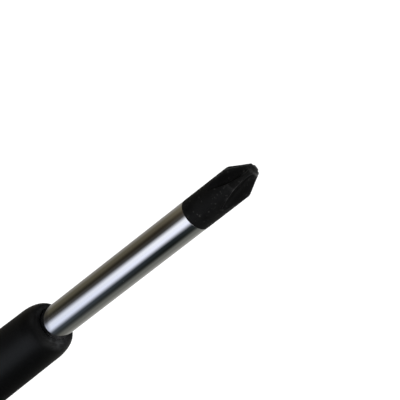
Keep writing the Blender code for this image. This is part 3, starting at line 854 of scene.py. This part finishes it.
def capSolid():
    c, h = cap, handle
    rimTopZ = coreRearZ - seam
    lowZ, highZ = c["edge"], rimTopZ - h["jointEdge"]
    ring = holeOutline(lowZ, highZ)
    # each window: the hole's rounded mouth, then the land out to the window's edge
    sine, cosine = quarterRound(7)
    roundAlong = ring["reach"] + c["mouthRound"] * (1 - sine[:, None])
    roundOffset = -c["mouthRound"] * (1 - cosine[:, None])
    mouthAngle, mouthZ = outlineRows(ring, roundAlong)
    landAngle, landZ = landRows(ring, ring["reach"] + c["mouthRound"], 14)
    patches = []
    for side in (0, math.pi):
        patches.append(patch(onSurface(mouthAngle, mouthZ, roundOffset, side), True))
        patches.append(patch(onSurface(landAngle, landZ, 0.0, side), True))
    # the hole itself, straight through from one mouth to the other
    mouth = onSurface(mouthAngle[-1], mouthZ[-1], -c["mouthRound"], 0)
    share = np.linspace(1, -1, 12)[:, None]
    hole = np.stack([mouth[:, 0] + 0 * share, mouth[:, 1] * share, mouth[:, 2] + 0 * share], axis=-1)
    patches.append(patch(hole, True))
    # plain sides between the windows
    edgeZ = np.unique(np.round(ring["edgeHeight"][np.isclose(ring["edgeAngle"], c["window"])], 9))
    sideAngle = np.linspace(c["window"], math.pi - c["window"], 33)
    for side in (0, math.pi):
        patches.append(patch(onSurface(sideAngle, edgeZ[:, None], 0.0, side)))
    # butt: rounded edge and flat face
    angle = allRound(np.concatenate([windowEdge(ring, lowZ), sideAngle[:-1]]), 2)
    sine, cosine = quarterRound(12)
    buttZ = c["edge"] * (1 - sine)
    butt = handleRadius(angle, buttZ[:, None]) - c["edge"] * (1 - cosine)[:, None]
    inner = butt[-1] * np.array([0.8, 0.5, 0.2, 0])[:, None]
    radius = np.concatenate([butt, inner])
    z = np.append(buttZ, np.zeros(len(inner)))[:, None]
    patches.append(patch(around(angle, radius, z), True))
    # rim and socket
    angle = allRound(np.concatenate([windowEdge(ring, highZ), sideAngle[:-1]]), 2)
    sine, cosine = quarterRound(6)
    rimZ = highZ + h["jointEdge"] * sine
    rim = handleRadius(angle, rimZ[:, None]) - h["jointEdge"] * (1 - cosine)[:, None]
    socketZ, socket = spigotRows(angle, clearance)
    socketZ[-1] = rimTopZ
    radius = np.concatenate([rim, socket[::-1], 0 * angle[None]])
    z = np.concatenate([rimZ, socketZ[::-1], socketZ[:1]])[:, None]
    patches.append(patch(around(angle, radius, z), True))
    return patches


makePiece("end_cap_skin", capSolid(), [hardFinish], "end_cap")

# stage: pale floor, soft lamps and a reflector cup that only gloss can see

stage = {
    "floorHalf": 4.0, "floorZ": -0.05 * mm, "floorColour": (0.90, 0.90, 0.90), "floorGlow": 0.14,
    "farFrom": 0.30, "farTo": 0.90, "farLight": 0.80,  # the floor's distant part fades to plain white
    "worldLight": 0.75,
}


def cameraSees(tree):  # 1 for the rays that show the stage itself: camera, gloss and glass
    path = addNode(tree, "LightPath").outputs
    seen = calculate(tree, "MAXIMUM", path["Is Camera Ray"], path["Is Glossy Ray"])
    return calculate(tree, "MAXIMUM", seen, path["Is Transmission Ray"])


def seenAs(tree, unseen, seen):  # one strength for the rays that show the stage, another for the rest
    return spread(tree, cameraSees(tree), 0, 1, unseen, seen)


def makeFloor():  # a flat grid, pale close by and plain white far off
    half, z = stage["floorHalf"], stage["floorZ"]
    span = np.linspace(-half, half, 9)
    x, y = np.meshgrid(span, span, indexing="ij")
    mesh = bpy.data.meshes.new("floor")
    points = np.stack([x, y, 0 * x + z], axis=-1).reshape(-1, 3)
    mesh.from_pydata(points.tolist(), [], patchQuads(len(span), len(span), False).tolist())
    floor = bpy.data.objects.new("floor", mesh)
    bpy.context.scene.collection.objects.link(floor)
    material, tree, shader = newFinish("pale_floor")
    base = (*stage["floorColour"], 1)
    connect(tree, shader, {"Base Color": base, "Roughness": 0.9, "Specular IOR Level": 0.0})
    glow = addNode(tree, "Emission", {"Strength": seenAs(tree, 0, stage["floorGlow"])})
    both = addNode(tree, "AddShader")
    tree.links.new(shader.outputs[0], both.inputs[0])
    tree.links.new(glow.outputs[0], both.inputs[1])
    away = addNode(tree, "VectorMath", {0: objectPlace(tree)}, operation="LENGTH").outputs["Value"]
    white = addNode(tree, "Emission", {"Strength": seenAs(tree, stage["farLight"], 1.0)})
    ground = addNode(tree, "MixShader", {0: spread(tree, away, stage["farFrom"], stage["farTo"], 0, 1)})
    tree.links.new(both.outputs[0], ground.inputs[1])
    tree.links.new(white.outputs[0], ground.inputs[2])
    tree.links.new(ground.outputs[0], tree.nodes["Material Output"].inputs["Surface"])
    mesh.materials.append(material)


def makeWorld():
    world = bpy.data.worlds.new("studio")
    world.use_nodes = True
    tree = world.node_tree
    shine = tree.nodes["Background"]
    shine.inputs["Color"].default_value = (1, 1, 1, 1)
    tree.links.new(seenAs(tree, stage["worldLight"], 1.0), shine.inputs["Strength"])
    bpy.context.scene.world = world
    bpy.context.scene.view_settings.view_transform = "Standard"


reflector = {
    "radius": 90 * mm, "hole": 20 * mm, "round": 30 * mm, "lowZ": -0.02 * mm, "highZ": 420 * mm, "sides": 96,
    "strength": 1.2, "lowEdge": (33 * mm, 40 * mm), "middleEdge": (43 * mm, 78 * mm),
    "topEdge": (78 * mm, 85 * mm), "highEdge": (94 * mm, 114 * mm),
    # light by azimuth in degrees from the camera's side, for the floor and four heights of the wall
    "low": [
        (-172, (0.45, 0.45, 0.46)), (-150, (0.09, 0.09, 0.09)), (-110, (0.09, 0.09, 0.09)),
        (-60, (0.20, 0.20, 0.22)), (-12, (0.72, 0.78, 0.84)), (10, (0.72, 0.80, 0.86)),
        (46, (0.03, 0.03, 0.03)), (105, (0.012, 0.012, 0.012)), (150, (0.09, 0.09, 0.09)),
        (172, (0.45, 0.45, 0.46)),
    ],
    "middle": [
        (-176, (0.60, 0.60, 0.62)), (-150, (0.23, 0.22, 0.20)), (-95, (0.085, 0.077, 0.053)),
        (-64, (0.022, 0.020, 0.014)), (-46, (0.053, 0.052, 0.050)), (-10, (0.69, 0.725, 0.83)),
        (8, (0.68, 0.725, 0.87)), (42, (0.042, 0.050, 0.061)), (62, (0.026, 0.030, 0.031)),
        (97, (0.125, 0.127, 0.115)), (150, (0.28, 0.28, 0.26)), (176, (0.60, 0.60, 0.62)),
    ],
    "upper": [
        (-176, (0.60, 0.60, 0.62)), (-150, (0.23, 0.22, 0.20)), (-95, (0.088, 0.077, 0.053)),
        (-64, (0.020, 0.016, 0.011)), (-41, (0.034, 0.033, 0.030)), (-10, (0.84, 0.865, 0.935)),
        (8, (0.82, 0.85, 0.98)), (39.5, (0.012, 0.016, 0.019)), (66, (0.006, 0.008, 0.007)),
        (97, (0.138, 0.141, 0.128)), (150, (0.29, 0.29, 0.27)), (176, (0.60, 0.60, 0.62)),
    ],
    "top": [
        (-176, (0.60, 0.60, 0.62)), (-150, (0.23, 0.22, 0.20)), (-95, (0.120, 0.105, 0.072)),
        (-64, (0.049, 0.040, 0.028)), (-42, (0.062, 0.060, 0.055)), (-10, (0.84, 0.865, 0.935)),
        (8, (0.83, 0.86, 0.99)), (44, (0.018, 0.022, 0.025)), (66, (0.014, 0.017, 0.016)),
        (97, (0.138, 0.141, 0.128)), (150, (0.29, 0.29, 0.27)), (176, (0.60, 0.60, 0.62)),
    ],
    "high": [
        (-175, (0.03, 0.03, 0.03)), (-100, (0.02, 0.02, 0.02)), (-20, (0.01, 0.01, 0.01)),
        (16, (0.12, 0.12, 0.13)), (38, (0.38, 0.39, 0.40)), (64, (0.05, 0.05, 0.05)),
        (90, (0.28, 0.28, 0.28)), (140, (0.38, 0.38, 0.38)), (165, (0.28, 0.28, 0.28)),
        (178, (0.04, 0.04, 0.04)),
    ],
}


def strips(tree, sweep, stops):  # light that eases from one stop to the next
    ramp = addNode(tree, "ValToRGB", {"Fac": sweep})
    ramp.color_ramp.interpolation = "EASE"
    while len(ramp.color_ramp.elements) < len(stops):
        ramp.color_ramp.elements.new(0.5)
    for element, (azimuth, colour) in zip(ramp.color_ramp.elements, stops):
        element.position = 0.5 + azimuth / 360
        element.color = (*colour, 1)
    return ramp.outputs["Color"]


def makeReflector():  # a cup round the tool: flat floor, quarter round, upright wall
    r = reflector
    sine, cosine = quarterRound(8)
    radius = np.concatenate([[r["hole"]], r["radius"] - r["round"] * (1 - sine), [r["radius"]]])
    z = np.concatenate([[r["lowZ"]], r["lowZ"] + r["round"] * (1 - cosine), [r["highZ"]]])
    points = around(np.arange(r["sides"]) * turn / r["sides"], radius[:, None], z[:, None])
    mesh = bpy.data.meshes.new("reflector_cup")
    mesh.from_pydata(points.reshape(-1, 3).tolist(), [], patchQuads(len(z), r["sides"], True).tolist())
    cup = bpy.data.objects.new("reflector_cup", mesh)
    bpy.context.scene.collection.objects.link(cup)
    material = bpy.data.materials.new("reflector_strips")
    material.use_nodes = True
    tree = material.node_tree
    tree.nodes.clear()
    place = objectPlace(tree)
    turned = addNode(tree, "Mapping", {"Vector": place, "Rotation": (0, 0, math.pi / 2)}).outputs["Vector"]
    sweep = addNode(tree, "TexGradient", {"Vector": turned}, gradient_type="RADIAL").outputs["Fac"]
    height = addNode(tree, "SeparateXYZ", {"Vector": place}).outputs["Z"]
    light = strips(tree, sweep, r["low"])
    layers = (("lowEdge", "middle"), ("middleEdge", "upper"), ("topEdge", "top"), ("highEdge", "high"))
    for edge, stops in layers:
        light = blendColour(tree, spread(tree, height, *r[edge], 0, 1), light, strips(tree, sweep, r[stops]))
    glow = addNode(tree, "Emission", {"Color": light, "Strength": r["strength"]})
    output = addNode(tree, "OutputMaterial")
    tree.links.new(glow.outputs[0], output.inputs["Surface"])
    mesh.materials.append(material)
    for ray in ("camera", "diffuse", "shadow", "transmission", "volume_scatter"):  # gloss alone sees it
        setattr(cup, "visible_" + ray, False)


lamps = {
    "key": {"place": (0.68, -0.60, 0.72), "size": 0.5, "power": 3.4},
    "top": {"place": (0.15, 0.10, 0.95), "size": 0.6, "power": 2.4},
    "side": {"place": (-0.80, -0.30, 0.45), "size": 0.4, "power": 1.0},
}


def makeLamps():
    for name, lamp in lamps.items():
        data = bpy.data.lights.new(name, "AREA")
        data.shape = "DISK"
        data.size = lamp["size"]
        data.energy = lamp["power"]
        light = bpy.data.objects.new(name, data)
        light.location = lamp["place"]
        aim = Vector((0, 0, tipZ / 2)) - light.location
        light.rotation_euler = aim.to_track_quat("-Z", "Y").to_euler()
        bpy.context.scene.collection.objects.link(light)


makeFloor()
makeWorld()
makeReflector()
makeLamps()
print("stage lit")
